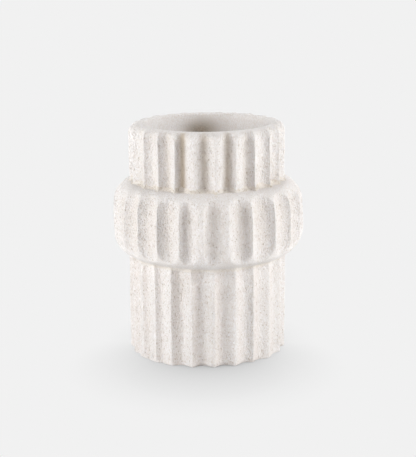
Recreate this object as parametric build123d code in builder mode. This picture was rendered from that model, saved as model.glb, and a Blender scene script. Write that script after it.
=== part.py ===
from build123d import *
import os
from math import cos, radians, sin, tan

# Fluted urn vase in rough white stoneware. A straight drum, a bulging belly ring and a straight
# collar are made as separate sections, stood on one another and luted with slip. A base disc is
# luted into the foot, and a glaze poured into the well makes it watertight.
# Millimetres, +Z up, origin on the table at the middle of the foot.

# Heights of the stacked sections
drum_height = 95.0
belly_height = 69.6
collar_height = 53.8
slip_thickness = 0.8

# Radii over the ridges, each set by its step from the collar's ridges outwards
collar_ridge_radius = 74.6
drum_step = 1.6
belly_projection = 15.4

# Flutes, all round each section, with a narrow land left as an arris between neighbours
flute_count = 24
drum_flute_depth = 6.5
drum_arris_land = 1.6
belly_flute_depth = 9.0
belly_arris_land = 2.2
belly_flute_lean = 4.5
collar_flute_depth = 8.5
collar_arris_land = 1.6
rim_rollover_height = 2.6
rim_rollover_lean = 45.0
tool_overrun = 8.0

# Walls, measured behind the flute floors, and the base
drum_wall = 8.0
belly_wall = 7.5
collar_wall = 6.0
floor_thickness = 10.0
foot_recess = 1.5

# Rounding of the belly and the rim
shoulder_height = 21.0
underside_height = 22.0
belly_hollow_slope = 17.0
seat_margin = 0.6
rim_round = 8.0
lip_chamfer = 1.6

# Glaze in the well
glaze_thickness = 0.5
glaze_margin = 6.0

# Radii that follow
drum_ridge_radius = collar_ridge_radius + drum_step
belly_ridge_radius = drum_ridge_radius + belly_projection
drum_bore_radius = drum_ridge_radius - drum_flute_depth - drum_wall
belly_bore_radius = belly_ridge_radius - belly_flute_depth - belly_wall
collar_bore_radius = collar_ridge_radius - collar_flute_depth - collar_wall
underside_edge_radius = drum_ridge_radius + seat_margin
shoulder_edge_radius = collar_ridge_radius + seat_margin
base_radius = drum_bore_radius - slip_thickness
rough_bore_radius = collar_bore_radius - collar_wall

# Heights that follow
floor_z = foot_recess + floor_thickness
belly_bottom_z = drum_height + slip_thickness
belly_middle_z = belly_bottom_z + belly_height / 2
belly_top_z = belly_bottom_z + belly_height
collar_bottom_z = belly_top_z + slip_thickness
rim_z = collar_bottom_z + collar_height
glaze_top_z = drum_height - glaze_margin

half_pitch = 180 / flute_count


def flute_round(ridge_radius, flute_depth, arris_land):
    """Radius of the round flute that is this deep and leaves the arris land on either side."""
    half_angle = radians(half_pitch) - arris_land / (2 * ridge_radius)
    floor_radius = ridge_radius - flute_depth
    chord_squared = ridge_radius**2 + floor_radius**2 - 2 * ridge_radius * floor_radius * cos(half_angle)
    return chord_squared / (2 * (ridge_radius * cos(half_angle) - floor_radius))


def stave_path(ridge_radius, ridge_angle):
    """Closed path with one straight side behind each ridge and its corners under the flutes."""
    corner_radius = ridge_radius / cos(radians(half_pitch))
    start = (ridge_radius * cos(radians(ridge_angle)), ridge_radius * sin(radians(ridge_angle)))
    corner_angles = [radians(ridge_angle + (2 * n + 1) * half_pitch) for n in range(flute_count)]
    corners = [(corner_radius * cos(angle), corner_radius * sin(angle)) for angle in corner_angles]
    with BuildLine() as path:
        Polyline(start, *corners, close=True)
    return path.wire()


def ridge_plane(ridge_angle):
    """Upright plane through the axis and one ridge, with x outwards and y up."""
    outwards = (cos(radians(ridge_angle)), sin(radians(ridge_angle)), 0)
    sideways = (sin(radians(ridge_angle)), -cos(radians(ridge_angle)), 0)
    return Plane((0, 0, 0), x_dir=outwards, z_dir=sideways)


# Base disc, a slab cut round and let into the drum, clear of the table so that the drum carries the vase
with BuildPart() as base_disc:
    with BuildSketch(Plane.XY.offset(foot_recess)):
        Circle(base_radius)
    extrude(amount=floor_thickness)

# Foot seam, the ring of slip between the base disc and the bore of the drum
with BuildPart() as foot_seam:
    with BuildSketch(Plane.XY.offset(foot_recess)):
        Circle(drum_bore_radius)
        Circle(base_radius, mode=Mode.SUBTRACT)
    extrude(amount=floor_thickness)

# Lower drum, a tube with straight flutes from the foot to the waist
drum_flute_round = flute_round(drum_ridge_radius, drum_flute_depth, drum_arris_land)
with BuildPart() as lower_drum:
    with BuildSketch():
        Circle(drum_ridge_radius)
        with PolarLocations(drum_ridge_radius - drum_flute_depth + drum_flute_round, flute_count):
            Circle(drum_flute_round, mode=Mode.SUBTRACT)
        Circle(drum_bore_radius, mode=Mode.SUBTRACT)
    extrude(amount=drum_height)

# Waist seam, slip squeezed flat between drum and belly and wiped off level with the drum's ridges
with BuildPart() as waist_seam:
    with BuildSketch(Plane.XY.offset(drum_height)):
        Circle(drum_ridge_radius)
        Circle(drum_bore_radius, mode=Mode.SUBTRACT)
    extrude(amount=slip_thickness)

# Tool for one belly flute, a round bar that leans in towards the top, so that the flute runs out high
# on the shoulder and just short of the underside
belly_flute_round = flute_round(belly_ridge_radius, belly_flute_depth, belly_arris_land)
belly_flute_floor = (belly_ridge_radius - belly_flute_depth, 0, belly_middle_z)
with BuildPart() as belly_flute_tool:
    with BuildSketch(Plane(belly_flute_floor).rotated((0, -belly_flute_lean, 0))):
        with Locations((belly_flute_round, 0)):
            Circle(belly_flute_round)
    extrude(amount=belly_height / 2 + tool_overrun, both=True)

# Belly ring, one stave behind each ridge with a round shoulder and underside, hollowed to follow the
# bulge, then fluted half a pitch out of step with the drum and the collar
with BuildPart() as belly_ring:
    with BuildSketch(ridge_plane(0)):
        with BuildLine():
            Polyline(
                (shoulder_edge_radius, belly_top_z),
                (rough_bore_radius, belly_top_z),
                (rough_bore_radius, belly_bottom_z),
                (underside_edge_radius, belly_bottom_z),
            )
            TangentArc(
                (belly_ridge_radius, belly_bottom_z + underside_height),
                (underside_edge_radius, belly_bottom_z),
                tangent=(0, -1),
            )
            Line(
                (belly_ridge_radius, belly_bottom_z + underside_height),
                (belly_ridge_radius, belly_top_z - shoulder_height),
            )
            TangentArc(
                (belly_ridge_radius, belly_top_z - shoulder_height),
                (shoulder_edge_radius, belly_top_z),
                tangent=(0, 1),
            )
        make_face()
    sweep(path=stave_path(belly_ridge_radius, 0), transition=Transition.RIGHT)
    with BuildSketch(Plane.XZ):
        with BuildLine():
            Polyline(
                (0, belly_bottom_z),
                (drum_bore_radius, belly_bottom_z),
                (belly_bore_radius, belly_bottom_z + belly_hollow_slope),
                (belly_bore_radius, belly_top_z - belly_hollow_slope),
                (collar_bore_radius, belly_top_z),
                (0, belly_top_z),
                close=True,
            )
        make_face()
    revolve(mode=Mode.SUBTRACT)
    for flute in range(flute_count):
        with PolarLocations(0, 1, start_angle=(2 * flute + 1) * half_pitch):
            add(belly_flute_tool.part, mode=Mode.SUBTRACT)

# Neck seam, slip squeezed flat between belly and collar and wiped off level with the collar's ridges
with BuildPart() as neck_seam:
    with BuildSketch(Plane.XY.offset(belly_top_z)):
        Circle(collar_ridge_radius)
        Circle(collar_bore_radius, mode=Mode.SUBTRACT)
    extrude(amount=slip_thickness)

# Tool for one collar flute, a round bar that bends inwards near its top, so that the flute rolls over
# the rim and leaves it scalloped
collar_flute_round = flute_round(collar_ridge_radius, collar_flute_depth, collar_arris_land)
collar_flute_centre = collar_ridge_radius - collar_flute_depth + collar_flute_round
collar_bend_z = rim_z - rim_rollover_height + collar_flute_round * tan(radians(rim_rollover_lean / 2))
collar_tool_top_z = collar_bend_z + tool_overrun
collar_tool_top_radius = collar_flute_centre - tool_overrun * tan(radians(rim_rollover_lean))
with BuildPart() as collar_flute_tool:
    with BuildLine(Plane.XZ) as collar_tool_path:
        Polyline(
            (collar_flute_centre, collar_bottom_z - tool_overrun),
            (collar_flute_centre, collar_bend_z),
            (collar_tool_top_radius, collar_tool_top_z),
        )
    with BuildSketch(Plane.XY.offset(collar_bottom_z - tool_overrun)):
        with Locations((collar_flute_centre, 0)):
            Circle(collar_flute_round)
    sweep(path=collar_tool_path.wire(), transition=Transition.RIGHT)

# Collar, one stave behind each ridge with a thick rounded rim, bored through, then fluted from the
# neck joint up over the rim
with BuildPart() as collar:
    with BuildSketch(ridge_plane(half_pitch)):
        with BuildLine():
            Polyline(
                (collar_ridge_radius - rim_round, rim_z),
                (rough_bore_radius, rim_z),
                (rough_bore_radius, collar_bottom_z),
                (collar_ridge_radius, collar_bottom_z),
                (collar_ridge_radius, rim_z - rim_round),
            )
            CenterArc((collar_ridge_radius - rim_round, rim_z - rim_round), rim_round, 0, 90)
        make_face()
    sweep(path=stave_path(collar_ridge_radius, half_pitch), transition=Transition.RIGHT)
    with BuildSketch(Plane.XZ):
        with BuildLine():
            Polyline(
                (0, collar_bottom_z),
                (collar_bore_radius, collar_bottom_z),
                (collar_bore_radius, rim_z - lip_chamfer),
                (collar_bore_radius + lip_chamfer, rim_z),
                (0, rim_z),
                close=True,
            )
        make_face()
    revolve(mode=Mode.SUBTRACT)
    for flute in range(flute_count):
        with PolarLocations(0, 1, start_angle=2 * flute * half_pitch):
            add(collar_flute_tool.part, mode=Mode.SUBTRACT)

# Inner glaze, one thin coat over the floor and up the bore of the drum, stopping below the waist joint
with BuildPart() as inner_glaze:
    with BuildSketch(Plane.XY.offset(floor_z)):
        Circle(drum_bore_radius)
    extrude(amount=glaze_top_z - floor_z)
    with BuildSketch(Plane.XY.offset(floor_z + glaze_thickness)):
        Circle(drum_bore_radius - glaze_thickness)
    extrude(amount=glaze_top_z - floor_z - glaze_thickness, mode=Mode.SUBTRACT)

pieces = {
    "base_disc": base_disc,
    "foot_seam": foot_seam,
    "lower_drum": lower_drum,
    "waist_seam": waist_seam,
    "belly_ring": belly_ring,
    "neck_seam": neck_seam,
    "collar": collar,
    "inner_glaze": inner_glaze,
}
os.makedirs("parts", exist_ok=True)
for name, piece in pieces.items():
    piece.part.label = name
    export_step(piece.part, f"parts/{name}.step")
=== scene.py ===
import bmesh
import bpy
import numpy as np
from mathutils import Euler, Matrix, Vector


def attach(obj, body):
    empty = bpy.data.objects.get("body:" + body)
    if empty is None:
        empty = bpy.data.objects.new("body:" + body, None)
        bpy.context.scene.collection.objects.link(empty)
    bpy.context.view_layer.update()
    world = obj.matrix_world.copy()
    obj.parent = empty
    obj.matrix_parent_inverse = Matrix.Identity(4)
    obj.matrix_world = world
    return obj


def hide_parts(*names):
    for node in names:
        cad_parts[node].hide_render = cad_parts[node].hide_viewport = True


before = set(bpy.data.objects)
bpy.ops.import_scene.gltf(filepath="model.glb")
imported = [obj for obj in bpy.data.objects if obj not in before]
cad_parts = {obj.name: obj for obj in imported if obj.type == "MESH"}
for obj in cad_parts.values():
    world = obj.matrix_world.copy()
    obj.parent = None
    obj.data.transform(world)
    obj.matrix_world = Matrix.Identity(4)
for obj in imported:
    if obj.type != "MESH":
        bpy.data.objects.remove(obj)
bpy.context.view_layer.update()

# Base disc: a slab of coarse stoneware rolled flat, cut round and let into the drum.
# It is off-white clay full of grog, fired unglazed below, and sits clear of the table.
MM = 0.001
TURN = 2 * np.pi
base_radius = 60.9 * MM
base_bottom = 1.5 * MM
base_top = 11.5 * MM
base_edge_round = 1.0 * MM
base_columns = 240
base_rows = 24
base_corner_rows = 5
base_lump = 6.0 * MM
base_unevenness = 0.12 * MM
base_calm_radius = 12.0 * MM
base_field_stretch = 2
base_rough = 0.6

clay_white = (0.830, 0.811, 0.812, 1)
clay_shade = (0.793, 0.766, 0.757, 1)
# Painted shade: a pink tint laid on flute slopes and floors that lie in shade.
clay_blush = (0.80, 0.695, 0.645, 1)
sand_tan = (0.617, 0.522, 0.432, 1)
grog_tan = (0.47, 0.375, 0.285, 1)
# Tan painted as shade in flute floors, also the colour of real dust among the neck's crumbs.
dust_tan = (0.55, 0.46, 0.345, 1)
# Brown painted as shade at the back of the bore, also the colour of a real stain on one drum flute.
hollow_brown = (0.31, 0.265, 0.213, 1)
clay_roughness = 0.95
clay_sheen = 0.2
clay_grain = 1.45 * MM
smooth_grain = 0.4
grain_draw = (1, 1, 0.6)
grain_detail = 1
noise_roughness = 0.6
cloud_scale = 45
cloud_detail = 3
cloud_range = (0.35, 0.7)
sand_scale = 950
sand_range = (0.35, 0.68)
sand_tone = 0.4
pit_scale = 820
pit_range = (0.635, 0.71)
pit_relief = 0.3
stoneware_fleck = 0.65

sheet_step = 0.48 * MM
sheet_columns = 1200
sheet_rows = 512
pole_merge = 1e-7


def clay_field(seed, around, along):
    """Random field over the unrolled wall: white noise blurred by a bell curve to lumps of the given
    size round the vase and along it, then scaled to a spread of one. It repeats at its edges."""
    speckle = np.random.default_rng(seed).standard_normal((sheet_rows, sheet_columns))
    waves_around = np.fft.fftfreq(sheet_columns, sheet_step) * around
    waves_along = np.fft.fftfreq(sheet_rows, sheet_step)[:, None] * along
    bell = np.exp(-2 * np.pi**2 * (waves_around**2 + waves_along**2))
    field = np.fft.ifft2(np.fft.fft2(speckle) * bell).real
    return field / field.std()


def on_wall(field, angle, height):
    """Value of a clay field at an angle and a height: the four nearest samples, weighted by nearness."""
    column = angle / TURN % 1 * sheet_columns
    row = height / sheet_step % sheet_rows
    left = np.floor(column).astype(int) % sheet_columns
    below = np.floor(row).astype(int) % sheet_rows
    right = (left + 1) % sheet_columns
    above = (below + 1) % sheet_rows
    across = column - np.floor(column)
    up = row - np.floor(row)
    lower = field[below, left] * (1 - across) + field[below, right] * across
    upper = field[above, left] * (1 - across) + field[above, right] * across
    return lower * (1 - up) + upper * up


def turned_piece(name, radius, height, angle, poles=False):
    """Surface of rows and columns: a point lies at its own radius and height, turned by its column's angle
    or its own. Columns close round the axis. Rows close on themselves, or end in a pole at each end."""
    points = np.stack((radius * np.cos(angle), radius * np.sin(angle), height), axis=-1)
    index = np.arange(radius.size).reshape(radius.shape)
    next_row = np.roll(index, -1, axis=0)
    next_column = np.roll(index, -1, axis=1)
    opposite = np.roll(next_row, -1, axis=1)
    faces = np.stack((index, next_column, opposite, next_row), axis=-1)
    if poles:
        faces = faces[:-1]
    mesh = bpy.data.meshes.new(name)
    mesh.from_pydata(points.reshape(-1, 3), [], faces.reshape(-1, 4))
    mesh.shade_smooth()
    if poles:
        merged = bmesh.new()
        merged.from_mesh(mesh)
        bmesh.ops.remove_doubles(merged, verts=merged.verts, dist=pole_merge)
        merged.to_mesh(mesh)
        merged.free()
    piece = bpy.data.objects.new(name, mesh)
    bpy.context.scene.collection.objects.link(piece)
    return piece


def fired_clay(name, body, shade, fleck, fleck_share, grain_depth):
    """Unglazed clay: two close body colours in soft clouds, a fine sand all over in relief and in tone,
    and small upright pits with tan grog in them. Pits fade out where the clay was pressed or wiped. Over the
    body go painted shade in pink where flute slopes lie in shade, then tan that is painted shade in flute
    floors and real dust in the neck's crumbs, then brown that is painted shade in the bore and a real stain
    on one drum flute."""
    material = bpy.data.materials.new(name)
    material.use_nodes = True
    nodes = material.node_tree.nodes
    link = material.node_tree.links.new
    shader = nodes["Principled BSDF"]
    shader.inputs["Roughness"].default_value = clay_roughness
    shader.inputs["Specular IOR Level"].default_value = clay_sheen

    place = nodes.new("ShaderNodeTexCoord")
    drawn_up = nodes.new("ShaderNodeMapping")
    drawn_up.inputs["Scale"].default_value = grain_draw
    link(place.outputs["Object"], drawn_up.inputs["Vector"])

    def stored(value_name):
        """The socket of the number that the piece stores under a name."""
        attribute = nodes.new("ShaderNodeAttribute")
        attribute.attribute_name = value_name
        return attribute.outputs["Fac"]

    def noise(scale, detail, vector):
        """A noise texture, and the socket that holds its value."""
        texture = nodes.new("ShaderNodeTexNoise")
        texture.inputs["Scale"].default_value = scale
        texture.inputs["Detail"].default_value = detail
        texture.inputs["Roughness"].default_value = noise_roughness
        link(vector, texture.inputs["Vector"])
        return texture.outputs["Fac"]

    def between(value, low, high):
        """The share of the way that a value has gone from low to high, held between 0 and 1."""
        share = nodes.new("ShaderNodeMapRange")
        share.inputs["From Min"].default_value = low
        share.inputs["From Max"].default_value = high
        link(value, share.inputs["Value"])
        return share.outputs["Result"]

    def worked(operation, one, other):
        """Two values, or a value and a number, put through one operation."""
        step = nodes.new("ShaderNodeMath")
        step.operation = operation
        link(one, step.inputs[0])
        if isinstance(other, float):
            step.inputs[1].default_value = other
        else:
            link(other, step.inputs[1])
        return step.outputs["Value"]

    def tinted(share, under, over):
        """A colour, or a socket of colour, covered by another colour to the given share."""
        mix = nodes.new("ShaderNodeMix")
        mix.data_type = "RGBA"
        link(share, mix.inputs["Factor"])
        if isinstance(under, tuple):
            mix.inputs["A"].default_value = under
        else:
            link(under, mix.inputs["A"])
        mix.inputs["B"].default_value = over
        return mix.outputs["Result"]

    rough = stored("rough")
    clouds = between(noise(cloud_scale, cloud_detail, place.outputs["Object"]), *cloud_range)
    sand = noise(sand_scale, grain_detail, drawn_up.outputs["Vector"])
    pits = between(noise(pit_scale, grain_detail, drawn_up.outputs["Vector"]), *pit_range)
    pits = worked("MULTIPLY", pits, rough)

    blushed_colour = tinted(stored("blush"), tinted(clouds, body, shade), clay_blush)
    dusted_colour = tinted(stored("dust"), blushed_colour, dust_tan)
    body_colour = tinted(stored("hollow"), dusted_colour, hollow_brown)
    sand_share = worked("MULTIPLY", between(sand, *sand_range), sand_tone)
    sandy_colour = tinted(sand_share, body_colour, sand_tan)
    fleck_here = worked("MULTIPLY", pits, fleck_share)
    link(tinted(fleck_here, sandy_colour, fleck), shader.inputs["Base Color"])

    bump = nodes.new("ShaderNodeBump")
    bump.inputs["Distance"].default_value = grain_depth
    grain = worked("ADD", worked("MULTIPLY", rough, 1 - smooth_grain), smooth_grain)
    link(grain, bump.inputs["Strength"])
    link(worked("SUBTRACT", sand, worked("MULTIPLY", pits, pit_relief)), bump.inputs["Height"])
    link(bump.outputs["Normal"], shader.inputs["Normal"])
    return material


def clay_values(piece, **values):
    """Stores one number a vertex under each name, for the material to read."""
    for name, value in values.items():
        layer = piece.data.attributes.new(name, "FLOAT", "POINT")
        layer.data.foreach_set("value", np.ascontiguousarray(value, np.float32).ravel())


stoneware = fired_clay("stoneware", clay_white, clay_shade, grog_tan, stoneware_fleck, clay_grain)

base_angle = np.linspace(0, TURN, base_columns, endpoint=False)
base_corner = np.linspace(0, TURN / 4, base_corner_rows)
base_reach = np.linspace(0, base_radius - base_edge_round, base_rows)
base_row_radius = np.concatenate((
    base_reach[:-1],
    base_radius - base_edge_round * (1 - np.sin(base_corner)),
    base_radius - base_edge_round * (1 - np.cos(base_corner)),
    base_reach[-2::-1],
))
base_row_height = np.concatenate((
    np.full(base_rows - 1, base_bottom),
    base_bottom + base_edge_round * (1 - np.cos(base_corner)),
    base_top - base_edge_round * (1 - np.sin(base_corner)),
    np.full(base_rows - 1, base_top),
))
base_grid = np.ones((len(base_row_radius), base_columns))
base_plan = base_row_radius[:, None] * base_grid
base_field = clay_field(11, base_lump, base_lump)
base_sag = on_wall(base_field, base_angle * base_grid, base_field_stretch * base_plan)
base_sag = base_sag * base_unevenness * np.clip(base_plan / base_calm_radius, 0, 1)
base_level = base_row_height[:, None] + base_sag
base_disc = turned_piece("base_disc_slab", base_plan, base_level, base_angle, poles=True)
clay_values(base_disc, rough=np.full(len(base_disc.data.vertices), base_rough))
base_disc.data.materials.append(stoneware)
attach(base_disc, "root")
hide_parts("base_disc")

# Foot seam: the ring of slip that lutes the base disc into the bore of the drum.
# It is the same clay let down with water, pressed in and wiped hollow with a finger from below.
foot_seam_inner = 60.7 * MM
foot_seam_outer = 61.9 * MM
foot_fillet = 2.2 * MM
foot_columns = 360
foot_rows = 7
foot_lap = 0.3 * MM
foot_sag = 0.9 * MM
foot_lump = 5.0 * MM
foot_unevenness = 0.08 * MM
foot_field_stretch = 4

slip_white = (0.84, 0.805, 0.765, 1)
slip_shade = (0.79, 0.74, 0.685, 1)
slip_fleck = 0.7
slip = fired_clay("wiped_slip", slip_white, slip_shade, grog_tan, slip_fleck, clay_grain)

foot_angle = np.linspace(0, TURN, foot_columns, endpoint=False)
foot_sweep = np.linspace(0, TURN / 4, foot_rows)
foot_row_radius = np.concatenate((
    np.full(2, foot_seam_outer),
    np.full(2, foot_seam_inner),
    foot_seam_outer - foot_fillet * (1 - np.sin(foot_sweep)),
))
foot_row_height = np.concatenate((
    np.array((base_bottom, base_top)),
    np.array((base_top, base_bottom + foot_lap)),
    base_bottom - foot_sag * (1 - np.cos(foot_sweep)),
))
foot_grid = np.ones((len(foot_row_radius), foot_columns))
foot_field = clay_field(12, foot_lump, foot_lump)
foot_field_height = foot_field_stretch * foot_row_radius[:, None]
foot_unease = on_wall(foot_field, foot_angle * foot_grid, foot_field_height)
foot_plan = foot_row_radius[:, None] + foot_unevenness * foot_unease
foot_level = foot_row_height[:, None] + foot_unevenness * foot_unease
foot_seam = turned_piece("foot_seam_slip", foot_plan, foot_level, foot_angle)
clay_values(foot_seam, rough=foot_grid)
foot_seam.data.materials.append(slip)
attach(foot_seam, "root")
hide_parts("foot_seam")

# Lower drum: a straight tube of coarse stoneware that carries the vase on its foot.
# Its flutes are scraped by hand with a round tool, so no two are quite alike, and the drag leaves pits.
# The outside stands a touch to the left under the belly, and the bore stays on the axis.
drum_ridge_radius = 76.2 * MM
drum_bore_radius = 61.7 * MM
drum_height = 95.0 * MM
drum_flute_depth = 5.2 * MM
drum_fullness = -0.8
flute_count = 24
flute_pitch = TURN / flute_count
columns_per_flute = 34
arris_round = 1.4 * MM
front_ridge = 14
drum_ridges_seen = (0.6, -0.6, -1.6, -1.15, -0.1, -0.25, -0.5, -0.3, 0.2)
drum_leans_seen = (-0.1, -0.25, -0.3, -0.1, -0.25, -0.1, 0.1, 0.0, 0.1)
drum_cuts_seen = (0.8, 0.7, 0.7, 0.95, 0.95, 0.95, 0.7, 0.75, 0.8)
foot_spread = 1.6 * MM
foot_spread_height = 6.0 * MM
foot_spread_lump = 25.0 * MM
foot_wear = 0.6 * MM
foot_wear_height = 1.5 * MM
stained_flute = 17
stain_height = 80.0 * MM
stain_reach = 14.0 * MM
stain_strength = 0.19
# Pink painted shade on shaded flute slopes: its strength, and the share across a flute where it ends.
drum_blush = 0.3
drum_blush_edge = 0.4
drum_set_off = -1.0 * MM
arris_lift = 0.3 * MM
arris_sway = np.radians(0.3)
wander_size = (7.0 * MM, 30.0 * MM)
drum_sag_size = (9.0 * MM, 22.0 * MM)
floor_unevenness = 0.35 * MM
ridge_unevenness = 0.15 * MM
ridge_rough = 0.45
scrape_onset = 6
stray_limits = (-0.7, 0.7)
lean_limits = (-0.2, 0.2)
cut_limits = (0.85, 1.05)
drum_cut_limits = (0.75, 1.05)
drag_lump = (1.1 * MM, 1.6 * MM)
drag_spot = (0.6 * MM, 0.9 * MM)
drag_patch = (6.0 * MM, 9.0 * MM)
drag_patch_share = 0.35
drag_height = 0.15 * MM
crater_onset = 1.6
crater_span = 0.8
crater_depth = 0.3 * MM
drum_foot_rows = (0, 0.25 * MM, 0.7 * MM)
drum_wall_low = 1.4 * MM
drum_wall_high = drum_height - 1.0 * MM
drum_top_rows = (drum_height - 0.3 * MM, drum_height)
drum_rows = 98
drum_bore_rows = 10
drum_end_shares = (0.9, 0.6, 0.3)


def flute_columns():
    """Angles of the columns, closer together at the arrises: an even count less a sine of itself."""
    count = np.arange(flute_count * columns_per_flute) / columns_per_flute
    return (count + 0.5 - 0.5 * np.sin(TURN * count) / TURN) * flute_pitch


def each_flute(seed, limits, seen):
    """One number for each flute or ridge, as seen on the front ones and random within limits on the rest."""
    numbers = np.random.default_rng(seed).uniform(*limits, flute_count)
    numbers[front_ridge:front_ridge + len(seen)] = seen
    return numbers


def strayed(even_angle, first_ridge, strays):
    """Even angles moved as the hand moved the ridges: a ridge by its own stray in degrees, and what lies
    between two ridges in proportion."""
    ridges = first_ridge + np.arange(flute_count) * flute_pitch
    return even_angle + np.radians(np.interp(even_angle, ridges, strays, period=TURN))


def flute_cut(share, floor_radius, depth, fullness):
    """Radius of a flute's wall: its floor, plus a conic section of the share of the way to the arris. That
    is an ellipse for a fullness above 0, a parabola at 0, and below 0 a hyperbola with straighter sides. It
    passes the ridge a little, to leave a land there."""
    rise = share**2 * (1 + np.sqrt(1 - fullness)) / (1 + np.sqrt(1 - fullness * share**2))
    return floor_radius + (depth + arris_lift) * rise


def soft_least(one, other, blend):
    """The smaller of two lengths, rounded over where they come within the blend of each other: less a
    quarter of the blend times the square of their nearness."""
    close = np.clip(1 - np.abs(one - other) / blend, 0, 1)
    return np.minimum(one, other) - close**2 * blend / 4


def fluted_wall(ridge_radius, cuts, fullness, share, unease, floor_rise=0):
    """Radius of a straight fluted wall: the cut of its flutes or its ridge line, whichever is less. A field
    makes both uneven, and the floors may rise towards an end."""
    floor_radius = ridge_radius - cuts + floor_rise + floor_unevenness * unease
    cut = flute_cut(share, floor_radius, cuts, fullness)
    return soft_least(ridge_radius + ridge_unevenness * unease, cut, arris_round)


def scraped(depth, on_ridge):
    """Roughness of scraped clay: as given on the ridges, rising in step with the depth to full a sixth of
    the way down a flute."""
    return on_ridge + (1 - on_ridge) * np.clip(depth * scrape_onset, 0, 1)


def in_flute(even_angle, height, first_flute, wander, leans):
    """The number of the flute at each point, and the share of the way from its floor to its arrises, which
    are at -1 and 1 and sway along it by a field. The flute's own lean puts the floor that far off the
    middle, and fades out at the arrises."""
    swayed = (even_angle - first_flute + arris_sway * on_wall(wander, even_angle, height)) / flute_pitch
    flute = np.round(swayed).astype(int)
    share = 2 * (swayed - flute)
    return flute % flute_count, share - leans[flute % flute_count] * (1 - share**2)


def set_aside(radius, angle, offset):
    """Radius and angle of points moved along X by an offset small beside the radius: the radius gains the
    part of the offset that points outwards, and the part across it, over the radius, turns the angle."""
    moved = radius + offset * np.cos(angle)
    return moved, angle - offset * np.sin(angle) / moved


def dragged_clay(seed, angle, height):
    """Unevenness that the scraper leaves: lumps of a few millimetres, and here and there a crater where
    a coarse grain tore out, which is a field of upright spots past a threshold."""
    lumps = on_wall(clay_field(seed, *drag_lump), angle, height)
    spots = on_wall(clay_field(seed + 1, *drag_spot), angle, height)
    patches = on_wall(clay_field(seed + 2, *drag_patch), angle, height)
    craters = np.clip((spots + drag_patch_share * patches - crater_onset) / crater_span, 0, 1)
    return drag_height * lumps - crater_depth * craters


drum_even = flute_columns()
drum_strays = each_flute(25, stray_limits, drum_ridges_seen)
drum_angle = strayed(drum_even, flute_pitch / 2, drum_strays)
drum_leans = each_flute(26, lean_limits, drum_leans_seen)
drum_cuts = drum_flute_depth * each_flute(27, drum_cut_limits, drum_cuts_seen)
drum_wall_rise = np.linspace(drum_wall_low, drum_wall_high, drum_rows)
drum_rise = np.concatenate((drum_foot_rows, drum_wall_rise, drum_top_rows))
drum_bore_rise = np.linspace(drum_height, 0, drum_bore_rows)
drum_end = np.ones(len(drum_end_shares))
drum_row_height = np.concatenate((drum_rise, drum_height * drum_end, drum_bore_rise, np.zeros_like(drum_end)))
drum_row_share = np.concatenate((
    np.ones(len(drum_rise)),
    drum_end_shares,
    np.zeros(len(drum_bore_rise)),
    drum_end_shares[::-1],
))[:, None]
drum_grid = np.ones((len(drum_row_height), len(drum_angle)))
drum_level = drum_row_height[:, None] * drum_grid
drum_around = drum_angle * drum_grid
drum_wander = clay_field(21, *wander_size)
drum_sag = clay_field(22, *drum_sag_size)
drum_unease = on_wall(drum_sag, drum_around, drum_level)
drum_flute, drum_share = in_flute(drum_even * drum_grid, drum_level, 0, drum_wander, drum_leans)
drum_spread_field = clay_field(24, foot_spread_lump, foot_spread_lump)
drum_spread = foot_spread * (1 + on_wall(drum_spread_field, drum_around, np.zeros_like(drum_level)))
drum_runout = drum_spread * np.clip(1 - drum_level / foot_spread_height, 0, 1) ** 2
drum_cuts_here = drum_cuts[drum_flute]
drum_skin = fluted_wall(
    drum_ridge_radius, drum_cuts_here, drum_fullness, drum_share, drum_unease, drum_runout
)
drum_depth = np.clip((drum_ridge_radius - drum_skin) / drum_flute_depth, 0, 1)
drum_rough = scraped(drum_depth, ridge_rough)
drum_skin = drum_skin + drum_rough * dragged_clay(23, drum_around, drum_level)
foot_worn = np.clip(1 - drum_level / foot_wear_height, 0, 1)
drum_skin = drum_skin - foot_wear * foot_worn**2
drum_plan = drum_bore_radius + drum_row_share * (drum_skin - drum_bore_radius)
drum_plan, drum_turned = set_aside(drum_plan, drum_around, drum_set_off * drum_row_share)
lower_drum = turned_piece("lower_drum_clay", drum_plan, drum_level, drum_turned)
drum_stain = np.exp(-(((drum_level - stain_height) / stain_reach) ** 2)) * (1 - drum_share**2)
drum_stain = stain_strength * drum_stain * (drum_flute == stained_flute)
# Painted shade: a pink tint on the left slopes of the drum's flutes, where they lie in shade, more with
# depth.
drum_painted_shade = drum_blush * np.sqrt(drum_depth) * np.clip(drum_blush_edge - drum_share, 0, 1)
clay_values(lower_drum, rough=drum_rough, blush=drum_painted_shade, hollow=drum_stain)
lower_drum.data.materials.append(stoneware)
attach(lower_drum, "root")
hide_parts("lower_drum")

# Waist seam: the slip that lutes the belly ring onto the drum.
# It squeezes out under the belly and is wiped with a wet finger into a soft hollow that follows the flutes.
waist_low = 88.6 * MM
waist_high = 98.6 * MM
waist_edge_radius = 82.0 * MM
waist_joint_low = 94.9 * MM
waist_joint_high = 95.9 * MM
waist_lap_high = 70.0 * MM
waist_lap_low = 68.0 * MM
waist_lump = 3.0 * MM
waist_unevenness = 0.1 * MM
waist_rough = 0.45
seat_sink = 0.6 * MM
seam_rows = 12

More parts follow.
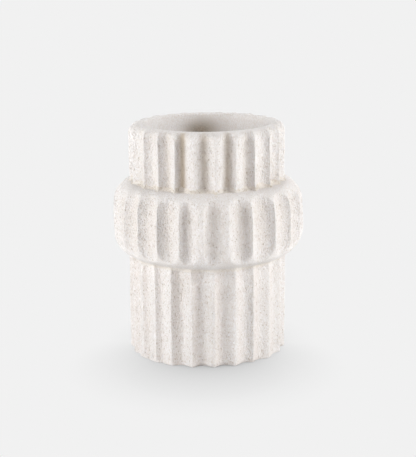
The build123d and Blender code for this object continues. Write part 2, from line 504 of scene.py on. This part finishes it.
waist_sweep = np.linspace(0, TURN / 4, seam_rows)[:, None]
seam_grid = np.ones((seam_rows, 1))
waist_around = seam_grid * drum_angle
waist_even = seam_grid * drum_even
waist_flute, waist_share = in_flute(waist_even, waist_joint_low, 0, drum_wander, drum_leans)
waist_cuts = drum_cuts[waist_flute]
waist_sag = on_wall(drum_sag, waist_around, waist_low * seam_grid)
waist_wall = fluted_wall(drum_ridge_radius, waist_cuts, drum_fullness, waist_share, waist_sag) - seat_sink
waist_field = clay_field(31, waist_lump, waist_lump)
waist_unease = waist_unevenness * on_wall(waist_field, waist_around, waist_high * np.sin(waist_sweep))
waist_swell = (waist_edge_radius - waist_wall) * (1 - np.cos(waist_sweep))
waist_skin = waist_wall + waist_swell + waist_unease / 2
waist_skin_level = waist_low + (waist_high - waist_low) * np.sin(waist_sweep) + waist_unease
waist_round = np.ones(len(drum_angle))
waist_inside = (waist_lap_high, drum_bore_radius, drum_bore_radius, waist_lap_low)
waist_inside_radius = np.array(waist_inside)[:, None]
waist_inside_level = np.repeat((waist_joint_high, waist_joint_low), 2)[:, None]
waist_plan = np.concatenate((waist_skin, waist_inside_radius * waist_round))
waist_level = np.concatenate((waist_skin_level, waist_inside_level * waist_round))
waist_off = drum_set_off * np.concatenate((np.cos(waist_sweep), np.zeros_like(waist_inside_radius)))
waist_plan, waist_turned = set_aside(waist_plan, drum_angle, waist_off)
waist_seam = turned_piece("waist_seam_slip", waist_plan, waist_level, waist_turned)
clay_values(waist_seam, rough=np.full(waist_plan.shape, waist_rough))
waist_seam.data.materials.append(slip)
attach(waist_seam, "root")
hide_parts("waist_seam")

# Belly ring: the widest section, pressed as a ring with a round shoulder and underside.
# Its flutes lean in towards the top and are cut half a pitch out of step with the drum and the collar.
belly_ridge_radius = 91.6 * MM
belly_bore_radius = 75.1 * MM
collar_bore_radius = 60.1 * MM
belly_bottom = 95.8 * MM
belly_top = 165.4 * MM
belly_height = belly_top - belly_bottom
underside_edge_radius = 76.8 * MM
shoulder_edge_radius = 75.2 * MM
underside_height = 22.0 * MM
shoulder_height = 21.0 * MM
belly_hollow_slope = 17.0 * MM
belly_flute_depth = 6.9 * MM
belly_fullness = 0.7
belly_flute_lean = np.radians(2.8)
belly_flute_bow = 2.0 * MM
shoulder_blend = 2.8 * MM
sag_size = (9.0 * MM, 20.0 * MM)
belly_floor_unevenness = 0.4 * MM
belly_ridge_unevenness = 0.2 * MM
belly_ridge_rough = 0.4
belly_inside_rough = 0.6
belly_dust_share = 0.1
dust_curve = 4
belly_blush_share = 0.1
under_rows = 32
straight_rows = 28
shoulder_rows = 37
seat_rows = 4
hollow_rows = 6
belly_ridges_seen = (3.4, 2.4, 1.7, 0.95, -0.1, -0.7, -0.8, -0.7, -0.4)
belly_leans_seen = (0.0, 0.0, -0.1, -0.45, -0.25, 0.2, 0.0, 0.1, 0.1)
belly_cuts_seen = (1.0, 1.0, 0.92, 0.85, 1.0, 1.0, 1.0, 1.0, 1.0)


def round_over(edge_radius, height):
    """Radius and sweep of the arc that leaves the ridge line upright and ends at the edge: half the sum
    of the squares of its reach and height, over its reach."""
    reach = belly_ridge_radius - edge_radius
    arc_radius = (reach**2 + height**2) / (2 * reach)
    return arc_radius, np.arcsin(height / arc_radius)


belly_even = flute_columns() + flute_pitch / 2
belly_angle = strayed(belly_even, 0, each_flute(44, stray_limits, belly_ridges_seen))
belly_leans = each_flute(45, lean_limits, belly_leans_seen)
belly_cuts = belly_flute_depth * each_flute(46, cut_limits, belly_cuts_seen)
under_radius, under_sweep = round_over(underside_edge_radius, underside_height)
shoulder_radius, shoulder_sweep = round_over(shoulder_edge_radius, shoulder_height)
under_turn = np.linspace(under_sweep, 0, under_rows)
shoulder_turn = np.linspace(0, shoulder_sweep, shoulder_rows)
straight_low = belly_bottom + underside_height
straight_high = belly_top - shoulder_height
belly_straight = np.linspace(straight_low, straight_high, straight_rows + 2)[1:-1]
belly_row_radius = np.concatenate((
    belly_ridge_radius - under_radius * (1 - np.cos(under_turn)),
    np.full(straight_rows, belly_ridge_radius),
    belly_ridge_radius - shoulder_radius * (1 - np.cos(shoulder_turn)),
))
belly_row_height = np.concatenate((
    straight_low - under_radius * np.sin(under_turn),
    belly_straight,
    straight_high + shoulder_radius * np.sin(shoulder_turn),
))
belly_hollow_radius = np.concatenate((
    np.linspace(shoulder_edge_radius, collar_bore_radius, seat_rows)[1:],
    np.linspace(collar_bore_radius, belly_bore_radius, hollow_rows)[1:],
    np.full(hollow_rows - 1, belly_bore_radius),
    np.linspace(belly_bore_radius, drum_bore_radius, hollow_rows)[1:],
    np.linspace(drum_bore_radius, underside_edge_radius, seat_rows)[1:-1],
))
hollow_low = belly_bottom + belly_hollow_slope
hollow_high = belly_top - belly_hollow_slope
belly_hollow_height = np.concatenate((
    np.full(seat_rows - 1, belly_top),
    np.linspace(belly_top, hollow_high, hollow_rows)[1:],
    np.linspace(hollow_high, hollow_low, hollow_rows)[1:],
    np.linspace(hollow_low, belly_bottom, hollow_rows)[1:],
    np.full(seat_rows - 2, belly_bottom),
))
belly_outside = len(belly_row_radius)
belly_skin_level = belly_row_height[:, None] * np.ones(len(belly_angle))
belly_around = belly_angle * np.ones((belly_outside, 1))
belly_wander = clay_field(41, *wander_size)
belly_unease = on_wall(clay_field(42, *sag_size), belly_around, belly_skin_level)
belly_even_around = belly_even * np.ones((belly_outside, 1))
belly_flute, belly_share = in_flute(
    belly_even_around, belly_skin_level, flute_pitch / 2, belly_wander, belly_leans
)
belly_above = belly_skin_level - (belly_bottom + belly_top) / 2
belly_bowed = belly_flute_bow * (2 * belly_above / belly_height) ** 2
belly_set_back = belly_above * np.tan(belly_flute_lean) + belly_bowed
belly_cuts_here = belly_cuts[belly_flute]
belly_floor = belly_ridge_radius - belly_cuts_here - belly_set_back + belly_floor_unevenness * belly_unease
belly_cut = flute_cut(belly_share, belly_floor, belly_cuts_here, belly_fullness)
belly_uncut = belly_row_radius[:, None] + belly_ridge_unevenness * belly_unease
belly_high = np.clip((belly_skin_level - belly_top) / shoulder_height + 1, 0, 1)
belly_skin = soft_least(belly_uncut, belly_cut, arris_round + shoulder_blend * belly_high**2)
belly_depth = np.clip((belly_uncut - belly_skin) / belly_flute_depth, 0, 1)
belly_rough = scraped(belly_depth, belly_ridge_rough)
belly_skin = belly_skin + belly_rough * dragged_clay(43, belly_around, belly_skin_level)
belly_plan = np.concatenate((belly_skin, belly_hollow_radius[:, None] * np.ones(len(belly_angle))))
belly_level = np.concatenate((belly_skin_level, belly_hollow_height[:, None] * np.ones(len(belly_angle))))
belly_ring = turned_piece("belly_ring_clay", belly_plan, belly_level, belly_angle)
belly_inside = np.zeros((len(belly_hollow_radius), len(belly_angle)))
# Painted shade: tan darkening and a pink tint in the belly's flute floors, most where they are deepest.
belly_dust = np.concatenate((belly_dust_share * belly_depth**dust_curve, belly_inside))
belly_blush = np.concatenate((belly_blush_share * belly_depth**2, belly_inside))
belly_rough = np.concatenate((belly_rough, belly_inside + belly_inside_rough))
clay_values(belly_ring, rough=belly_rough, blush=belly_blush, dust=belly_dust)
belly_ring.data.materials.append(stoneware)
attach(belly_ring, "root")
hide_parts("belly_ring")

# Neck seam: the slip that lutes the collar onto the belly's shoulder.
# It is left rough, a crumbly fillet with tan dust between its crumbs, and wiped off the ridges.
collar_ridge_radius = 74.6 * MM
collar_flute_depth = 7.0 * MM
collar_lean_limits = (-0.25, 0.25)
collar_fullness_limits = (-0.8, 0.6)
collar_dust_limits = (0.08, 0.48)
collar_ridges_seen = (3.0, 2.6, 1.9, 0.6, 0.5, 0.6, 0.8, 1.2, -0.6)
collar_leans_seen = (-0.1, -0.15, -0.2, -0.5, -0.05, 0.45, 0.4, 0.2, 0.1)
collar_fullness_seen = (-0.4, 0.0, 0.2, 0.5, -1.2, 0.5, 0.8, 0.5, 0.0)
collar_cuts_seen = (0.95, 0.9, 1.0, 1.0, 1.0, 1.0, 0.85, 0.85, 0.9)
collar_dust_seen = (0.13, 0.13, 0.24, 0.95, 0.6, 0.58, 0.36, 0.13, 0.13)
neck_low = 163.3 * MM
neck_high = 172.4 * MM
neck_edge_radius = 79.0 * MM
neck_joint_low = 165.3 * MM
neck_joint_high = 166.3 * MM
neck_lap_high = 66.0 * MM
neck_lap_low = 70.0 * MM
neck_lump = 1.3 * MM
neck_lump_height = 0.35 * MM
neck_crumb_share = 0.3

collar_wander = clay_field(61, *wander_size)
collar_sag = clay_field(62, *sag_size)
collar_even = flute_columns()
collar_strays = each_flute(64, stray_limits, collar_ridges_seen)
collar_angle = strayed(collar_even, flute_pitch / 2, collar_strays)
collar_leans = each_flute(68, collar_lean_limits, collar_leans_seen)
collar_fullness = each_flute(69, collar_fullness_limits, collar_fullness_seen)
collar_cuts = collar_flute_depth * each_flute(70, cut_limits, collar_cuts_seen)
neck_sweep = np.linspace(0, TURN / 4, seam_rows)[:, None]
neck_around = seam_grid * collar_angle
neck_even = seam_grid * collar_even
neck_flute, neck_share = in_flute(neck_even, neck_joint_high, 0, collar_wander, collar_leans)
neck_cuts = collar_cuts[neck_flute]
neck_fullness = collar_fullness[neck_flute]
neck_sag = on_wall(collar_sag, neck_around, neck_high * seam_grid)
neck_wall = fluted_wall(collar_ridge_radius, neck_cuts, neck_fullness, neck_share, neck_sag) - seat_sink
neck_field = clay_field(51, neck_lump, neck_lump)
neck_unease = on_wall(neck_field, neck_around, neck_high * np.sin(neck_sweep))
neck_lumps = neck_lump_height * neck_unease * np.cos(neck_sweep)
neck_skin = neck_wall + (neck_edge_radius - neck_wall) * (1 - np.sin(neck_sweep)) + neck_lumps
neck_skin_level = neck_low + (neck_high - neck_low) * (1 - np.cos(neck_sweep)) + neck_lumps
neck_round = np.ones(len(collar_angle))
neck_inside = (neck_lap_high, collar_bore_radius, collar_bore_radius, neck_lap_low)
neck_inside_radius = np.array(neck_inside)[:, None]
neck_inside_level = np.repeat((neck_joint_high, neck_joint_low), 2)[:, None]
neck_plan = np.concatenate((neck_skin, neck_inside_radius * neck_round))
neck_level = np.concatenate((neck_skin_level, neck_inside_level * neck_round))
neck_seam = turned_piece("neck_seam_slip", neck_plan, neck_level, collar_angle)
neck_crumbs = np.zeros(neck_plan.shape)
neck_crumbs[:seam_rows] = neck_crumb_share * np.clip(neck_unease, 0, 1)
clay_values(neck_seam, rough=np.ones(neck_plan.shape), dust=neck_crumbs)
neck_seam.data.materials.append(slip)
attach(neck_seam, "root")
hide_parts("neck_seam")

# Collar: the straight top section with a thick rounded rim, bored smooth inside.
# Its flutes are scraped from the neck right over the rim, which is then sponged round when still wet.
# Painted shade darkens the flute floors with tan, by a share for each flute, and darkens the back of the bore
# with brown, rising over the top 15 mm and fading further down.
collar_bottom = 166.2 * MM
rim_top = 220.0 * MM
rim_round = 8.0 * MM
rim_rollover = 4.2 * MM
rim_sink = 0.25 * MM
lip_chamfer = 1.6 * MM
collar_rows = 65
rim_rows = 16
land_rows = 5
lip_rows = 5
bore_rows = 30
bore_crowding = 1.3
rim_lump = 1.0 * MM
rim_lump_span = 12.0 * MM
rim_lump_out = 0.2 * MM
rim_lump_up = 0.12 * MM
bore_ring_size = (30.0 * MM, 0.9 * MM)
bore_ring_depth = 0.14 * MM
lip_rough = 0.3
bore_rough = 0.25
bore_ring_rough = 0.15
# Painted shade at the back of the bore: where it is centred, how wide, and how it rises and fades with depth.
bore_shade_middle = np.radians(98.6)
bore_shade_width = np.radians(17)
bore_shade_top = 1.0 * MM
bore_shade_reach = 14.0 * MM
bore_shade_foot = 20.0 * MM
bore_shade_fade = 18.0 * MM
bore_shade_least = 0.2
bore_shade_curve = 1.3
bore_shade_left = 0.1

collar_columns = len(collar_angle)
collar_wall_rows = np.linspace(0, 1, collar_rows, endpoint=False)[:, None]
collar_around = collar_angle * np.ones((collar_rows, 1))
collar_wall_level = collar_bottom + (rim_top - rim_rollover - collar_bottom) * collar_wall_rows
collar_unease = on_wall(collar_sag, collar_around, collar_wall_level)
collar_even_around = collar_even * np.ones((collar_rows, 1))
collar_flute, collar_share = in_flute(collar_even_around, collar_wall_level, 0, collar_wander, collar_leans)
collar_wall = fluted_wall(
    collar_ridge_radius,
    collar_cuts[collar_flute],
    collar_fullness[collar_flute],
    collar_share,
    collar_unease,
)
collar_uncut = collar_ridge_radius + ridge_unevenness * collar_unease
collar_depth = np.clip((collar_uncut - collar_wall) / collar_flute_depth, 0, 1)
collar_rough = scraped(collar_depth, ridge_rough)
collar_roll = rim_round + (rim_rollover - rim_round) * collar_depth[-1]
rim_crest = rim_top - rim_sink * collar_depth[-1]
collar_wall_level = collar_bottom + (rim_crest - collar_roll - collar_bottom) * collar_wall_rows
collar_wall = collar_wall + collar_rough * dragged_clay(63, collar_around, collar_wall_level)
rim_turn = np.linspace(0, TURN / 4, rim_rows)[:, None]
rim_around = collar_angle * np.ones((rim_rows, 1))
rim_crumb = on_wall(clay_field(65, rim_lump, rim_lump), rim_around, rim_lump_span * rim_turn)
rim_wall = collar_wall[-1] - (collar_roll + rim_lump_out * rim_crumb) * (1 - np.cos(rim_turn))
rim_level = rim_crest - collar_roll * (1 - np.sin(rim_turn)) + rim_lump_up * rim_crumb
land_share = np.linspace(0, 1, land_rows + 1)[1:][:, None]
land_plan = rim_wall[-1] + (collar_bore_radius + lip_chamfer - rim_wall[-1]) * land_share
land_level = rim_level[-1] + (rim_top - rim_level[-1]) * land_share
lip_turn = np.linspace(0, TURN / 4, lip_rows + 1)[1:][:, None] * np.ones(collar_columns)
lip_plan = collar_bore_radius + lip_chamfer * (1 - np.sin(lip_turn))
lip_level = rim_top - lip_chamfer * (1 - np.cos(lip_turn))
bore_steps = np.linspace(0, 1, bore_rows + 1)[1:][:, None]
bore_share = bore_steps**bore_crowding * np.ones(collar_columns)
bore_level = rim_top - lip_chamfer - (rim_top - lip_chamfer - collar_bottom) * bore_share
bore_around = collar_angle * np.ones((bore_rows, 1))
bore_rings = on_wall(clay_field(66, *bore_ring_size), bore_around, bore_level)
bore_plan = collar_bore_radius + bore_ring_depth * bore_rings
collar_plan = np.concatenate((collar_wall, rim_wall, land_plan, lip_plan, bore_plan))
collar_level = np.concatenate((collar_wall_level, rim_level, land_level, lip_level, bore_level))
collar = turned_piece("collar_clay", collar_plan, collar_level, collar_angle)
rim_rough = lip_rough + (collar_rough[-1] - lip_rough) * np.cos(rim_turn)
lip_clean = np.zeros((land_rows + lip_rows, collar_columns))
bored_rough = bore_rough + bore_ring_rough * bore_rings
collar_rough = np.concatenate((collar_rough, rim_rough, lip_clean + lip_rough, bored_rough))
# Painted shade: tan darkening in each collar flute's floor, by a share for each flute times the fourth power
# of the depth, carried up over the rim.
collar_dust_share = each_flute(67, collar_dust_limits, collar_dust_seen)
collar_dust = collar_dust_share[collar_flute] * collar_depth**dust_curve
rim_dust = collar_dust[-1] * np.cos(rim_turn)
collar_dust = np.concatenate((collar_dust, rim_dust, lip_clean, np.zeros_like(bore_rings)))
bore_depth = rim_top - bore_level
# Painted shade: brown darkening at the back of the bore, rising with depth below the rim, then fading lower
# down.
bore_back = np.exp(-(((collar_angle - bore_shade_middle) / bore_shade_width) ** 2))
bore_deep = np.clip((bore_depth - bore_shade_top) / bore_shade_reach, 0, 1)
bore_faded = np.clip(1 - (bore_depth - bore_shade_foot) / bore_shade_fade, bore_shade_left, 1)
bore_painted_shade = bore_back * (bore_shade_least + (1 - bore_shade_least) * bore_deep**bore_shade_curve) * bore_faded
collar_clean = np.zeros((collar_rows + rim_rows, collar_columns))
collar_hollow = np.concatenate((collar_clean, lip_clean, bore_painted_shade))
clay_values(collar, rough=collar_rough, dust=collar_dust, hollow=collar_hollow)
collar.data.materials.append(stoneware)
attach(collar, "root")
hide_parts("collar")

# Inner glaze: one pour of clear glaze in the well, so that the coarse clay holds water.
# It coats the floor and the bore of the drum, pools a little in the corner and ends in an uneven line.
glaze_thickness = 0.5 * MM
glaze_top = 89.0 * MM
glaze_floor = 11.5 * MM
glaze_pool = 3.0 * MM
glaze_columns = 360
glaze_floor_rows = 20
glaze_wall_rows = 30
glaze_corner_rows = 8
glaze_lump = 9.0 * MM
glaze_waver = 1.6 * MM
glaze_waver_curve = 4
glaze_roughness = 0.16
glaze_coat = 0.6
glaze_coat_roughness = 0.08
glaze_cloud_scale = 60
glaze_cloud_detail = 4
glaze_ripple_height = 0.6 * MM
glaze_ripple_share = 0.3
glaze_light = (0.76, 0.735, 0.69, 1)
glaze_dark = (0.66, 0.63, 0.575, 1)

glaze_angle = np.linspace(0, TURN, glaze_columns, endpoint=False)
glaze_corner = np.linspace(0, TURN / 4, glaze_corner_rows)
glaze_rows_up = np.linspace(0, 1, glaze_wall_rows)
glaze_outer_radius = drum_bore_radius
glaze_inner_radius = drum_bore_radius - glaze_thickness
glaze_inner_floor = glaze_floor + glaze_thickness
glaze_row_radius = np.concatenate((
    np.linspace(0, glaze_outer_radius, glaze_floor_rows),
    np.full(glaze_wall_rows, glaze_outer_radius),
    np.full(glaze_wall_rows, glaze_inner_radius),
    glaze_inner_radius - glaze_pool * (1 - np.cos(glaze_corner)),
    np.linspace(glaze_inner_radius - glaze_pool, 0, glaze_floor_rows)[1:],
))
glaze_row_height = np.concatenate((
    np.full(glaze_floor_rows, glaze_floor),
    glaze_floor + (glaze_top - glaze_floor) * glaze_rows_up,
    glaze_top - (glaze_top - glaze_inner_floor - glaze_pool) * glaze_rows_up,
    glaze_inner_floor + glaze_pool * (1 - np.sin(glaze_corner)),
    np.full(glaze_floor_rows - 1, glaze_inner_floor),
))
glaze_climb = np.clip((glaze_row_height - glaze_inner_floor - glaze_pool) / (glaze_top - glaze_floor), 0, 1)
glaze_line = on_wall(clay_field(71, glaze_lump, glaze_lump), glaze_angle, glaze_top)
glaze_plan = glaze_row_radius[:, None] * np.ones(glaze_columns)
glaze_lift = glaze_waver * glaze_climb[:, None] ** glaze_waver_curve
glaze_level = glaze_row_height[:, None] + glaze_lift * glaze_line
inner_glaze = turned_piece("inner_glaze_coat", glaze_plan, glaze_level, glaze_angle, poles=True)

glaze = bpy.data.materials.new("clear_glaze")
glaze.use_nodes = True
glaze_nodes = glaze.node_tree.nodes
glaze_link = glaze.node_tree.links.new
glaze_shader = glaze_nodes["Principled BSDF"]
glaze_shader.inputs["Roughness"].default_value = glaze_roughness
glaze_shader.inputs["Coat Weight"].default_value = glaze_coat
glaze_shader.inputs["Coat Roughness"].default_value = glaze_coat_roughness
glaze_place = glaze_nodes.new("ShaderNodeTexCoord")
glaze_clouds = glaze_nodes.new("ShaderNodeTexNoise")
glaze_clouds.inputs["Scale"].default_value = glaze_cloud_scale
glaze_clouds.inputs["Detail"].default_value = glaze_cloud_detail
glaze_link(glaze_place.outputs["Object"], glaze_clouds.inputs["Vector"])
glaze_mix = glaze_nodes.new("ShaderNodeMix")
glaze_mix.data_type = "RGBA"
glaze_mix.inputs["A"].default_value = glaze_light
glaze_mix.inputs["B"].default_value = glaze_dark
glaze_link(glaze_clouds.outputs["Fac"], glaze_mix.inputs["Factor"])
glaze_link(glaze_mix.outputs["Result"], glaze_shader.inputs["Base Color"])
glaze_ripple = glaze_nodes.new("ShaderNodeBump")
glaze_ripple.inputs["Strength"].default_value = glaze_ripple_share
glaze_ripple.inputs["Distance"].default_value = glaze_ripple_height
glaze_link(glaze_clouds.outputs["Fac"], glaze_ripple.inputs["Height"])
glaze_link(glaze_ripple.outputs["Normal"], glaze_shader.inputs["Normal"])
inner_glaze.data.materials.append(glaze)
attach(inner_glaze, "root")
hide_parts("inner_glaze")

# Floor: a wide pale table top that fades into the same pale backdrop all round.
# It bounces light as matt white does, and shows the camera its own tone, darker where the vase hides the sky.
floor_radius = 14.0
floor_drop = 0.2 * MM
floor_white = 0.9
backdrop_tone = 0.88
side_shadow_reach = 0.035
front_shadow_reach = 0.125
side_shadow_depth = 0.12
front_shadow_depth = 0.64
floor_columns = 96
floor_rings = 24


def either(tree, one, other):
    """A socket of a node tree that is 1 where one flag or the other is: their sum, held at 1."""
    flags = tree.nodes.new("ShaderNodeMath")
    flags.operation = "ADD"
    flags.use_clamp = True
    tree.links.new(one, flags.inputs[0])
    tree.links.new(other, flags.inputs[1])
    return flags.outputs["Value"]


def towards_front(tree, way, at_side, in_front):
    """A socket that goes from one number at the sides to another in front, in step with the way -Y."""
    share = tree.nodes.new("ShaderNodeMapRange")
    share.inputs["From Min"].default_value = 0
    share.inputs["From Max"].default_value = -1
    share.inputs["To Min"].default_value = at_side
    share.inputs["To Max"].default_value = in_front
    tree.links.new(way, share.inputs["Value"])
    return share.outputs["Result"]


floor_angle = np.linspace(0, TURN, floor_columns, endpoint=False)
floor_reaches = np.linspace(0, 1, floor_rings) ** 2 * floor_radius
floor_plan = floor_reaches[:, None] * np.ones(floor_columns)
floor_level = np.full(floor_plan.shape, -floor_drop)
floor = turned_piece("floor", floor_plan[::-1], floor_level, floor_angle, poles=True)
floor_paint = bpy.data.materials.new("pale_floor")
floor_paint.use_nodes = True
floor_tree = floor_paint.node_tree
floor_nodes = floor_tree.nodes
floor_link = floor_tree.links.new
floor_nodes.remove(floor_nodes["Principled BSDF"])
floor_matt = floor_nodes.new("ShaderNodeBsdfDiffuse")
floor_matt.inputs["Color"].default_value = (floor_white, floor_white, floor_white, 1)
floor_place = floor_nodes.new("ShaderNodeTexCoord")
floor_way = floor_nodes.new("ShaderNodeVectorMath")
floor_way.operation = "NORMALIZE"
floor_link(floor_place.outputs["Object"], floor_way.inputs[0])
floor_parts = floor_nodes.new("ShaderNodeSeparateXYZ")
floor_link(floor_way.outputs["Vector"], floor_parts.inputs["Vector"])
floor_front = floor_parts.outputs["Y"]
floor_reach = towards_front(floor_tree, floor_front, side_shadow_reach, front_shadow_reach)
side_shadow_tone = backdrop_tone * (1 - side_shadow_depth)
front_shadow_tone = backdrop_tone * (1 - front_shadow_depth)
floor_shadow_tone = towards_front(floor_tree, floor_front, side_shadow_tone, front_shadow_tone)
floor_open = floor_nodes.new("ShaderNodeAmbientOcclusion")
floor_link(floor_reach, floor_open.inputs["Distance"])
floor_tone_here = floor_nodes.new("ShaderNodeMapRange")
floor_link(floor_shadow_tone, floor_tone_here.inputs["To Min"])
floor_tone_here.inputs["To Max"].default_value = backdrop_tone
floor_link(floor_open.outputs["AO"], floor_tone_here.inputs["Value"])
floor_tone = floor_nodes.new("ShaderNodeEmission")
floor_tone.inputs["Color"].default_value = (1, 1, 1, 1)
floor_link(floor_tone_here.outputs["Result"], floor_tone.inputs["Strength"])
floor_ray = floor_nodes.new("ShaderNodeLightPath")
floor_seen = either(floor_tree, floor_ray.outputs["Is Camera Ray"], floor_ray.outputs["Is Glossy Ray"])
floor_seen = either(floor_tree, floor_seen, floor_ray.outputs["Is Transmission Ray"])
floor_mix = floor_nodes.new("ShaderNodeMixShader")
floor_link(floor_seen, floor_mix.inputs["Fac"])
floor_link(floor_matt.outputs["BSDF"], floor_mix.inputs[1])
floor_link(floor_tone.outputs["Emission"], floor_mix.inputs[2])
floor_link(floor_mix.outputs["Shader"], floor_nodes["Material Output"].inputs["Surface"])
floor.data.materials.append(floor_paint)

# Studio light: a large soft box at each side, a weaker and warmer one in front, and one behind the vase.
# The room is nearly dark. The backdrop keeps its own pale tone for the camera and for reflections.
room_light = 0.03
side_tint = (0.985, 1.0, 1.0)
front_tint = (1.0, 0.966, 0.95)
world = bpy.data.worlds.new("studio")
bpy.context.scene.world = world
world.use_nodes = True
world_tree = world.node_tree
world_nodes = world_tree.nodes
world_link = world_tree.links.new
world_room = world_nodes["Background"]
world_room.inputs["Color"].default_value = (1, 1, 1, 1)
world_room.inputs["Strength"].default_value = room_light
world_backdrop = world_nodes.new("ShaderNodeBackground")
world_backdrop.inputs["Color"].default_value = (1, 1, 1, 1)
world_backdrop.inputs["Strength"].default_value = backdrop_tone
world_ray = world_nodes.new("ShaderNodeLightPath")
world_seen = either(world_tree, world_ray.outputs["Is Camera Ray"], world_ray.outputs["Is Glossy Ray"])
world_mix = world_nodes.new("ShaderNodeMixShader")
world_link(world_seen, world_mix.inputs["Fac"])
world_link(world_room.outputs["Background"], world_mix.inputs[1])
world_link(world_backdrop.outputs["Background"], world_mix.inputs[2])
world_link(world_mix.outputs["Shader"], world_nodes["World Output"].inputs["Surface"])


def soft_box(name, side, rise, distance, size, power, tint):
    """A square lamp that faces the middle of the vase, at a distance from it, so many degrees to the right
    of the front and so many above level."""
    lamp = bpy.data.lights.new(name, "AREA")
    lamp.shape = "SQUARE"
    lamp.size = size
    lamp.energy = power
    lamp.color = tint
    holder = bpy.data.objects.new(name, lamp)
    bpy.context.scene.collection.objects.link(holder)
    turned = np.radians(side)
    lifted = np.radians(rise)
    away = Vector((np.sin(turned) * np.cos(lifted), -np.cos(turned) * np.cos(lifted), np.sin(lifted)))
    holder.location = Vector((0, 0, rim_top / 2)) + distance * away
    holder.rotation_euler = away.to_track_quat("Z", "Y").to_euler()


soft_box("left_box", side=-66, rise=20, distance=1.25, size=0.7, power=12.6, tint=side_tint)
soft_box("right_box", side=78, rise=20, distance=1.25, size=0.7, power=13.3, tint=side_tint)
soft_box("front_box", side=2.5, rise=26, distance=1.7, size=0.8, power=7.9, tint=front_tint)
soft_box("back_box", side=182, rise=46, distance=1.3, size=0.6, power=9.4, tint=side_tint)

# Camera: a long lens 1.1 m off and 16 cm above the rim, slightly to the right of the front flute.
# The picture is 416 by 457, with the vase's axis up the middle, and the camera is a touch off level.
camera_distance = 1.100
camera_height = 0.3837
camera_turn = np.radians(2.5)
camera_pitch = np.radians(13.70)
camera_roll = np.radians(-0.6)
picture_height = 457
focal_pixels = 1166
sensor_width = 36

camera_data = bpy.data.cameras.new("camera")
camera_data.sensor_width = sensor_width
camera_data.lens = focal_pixels / picture_height * sensor_width
camera = bpy.data.objects.new("camera", camera_data)
bpy.context.scene.collection.objects.link(camera)
camera.location = (
    camera_distance * np.sin(camera_turn),
    -camera_distance * np.cos(camera_turn),
    camera_height,
)
camera_level = Euler((TURN / 4 - camera_pitch, 0, camera_turn)).to_matrix()
camera.rotation_euler = (camera_level @ Matrix.Rotation(camera_roll, 3, "Z")).to_euler()
bpy.context.scene.camera = camera
bpy.context.scene.view_settings.view_transform = "Standard"
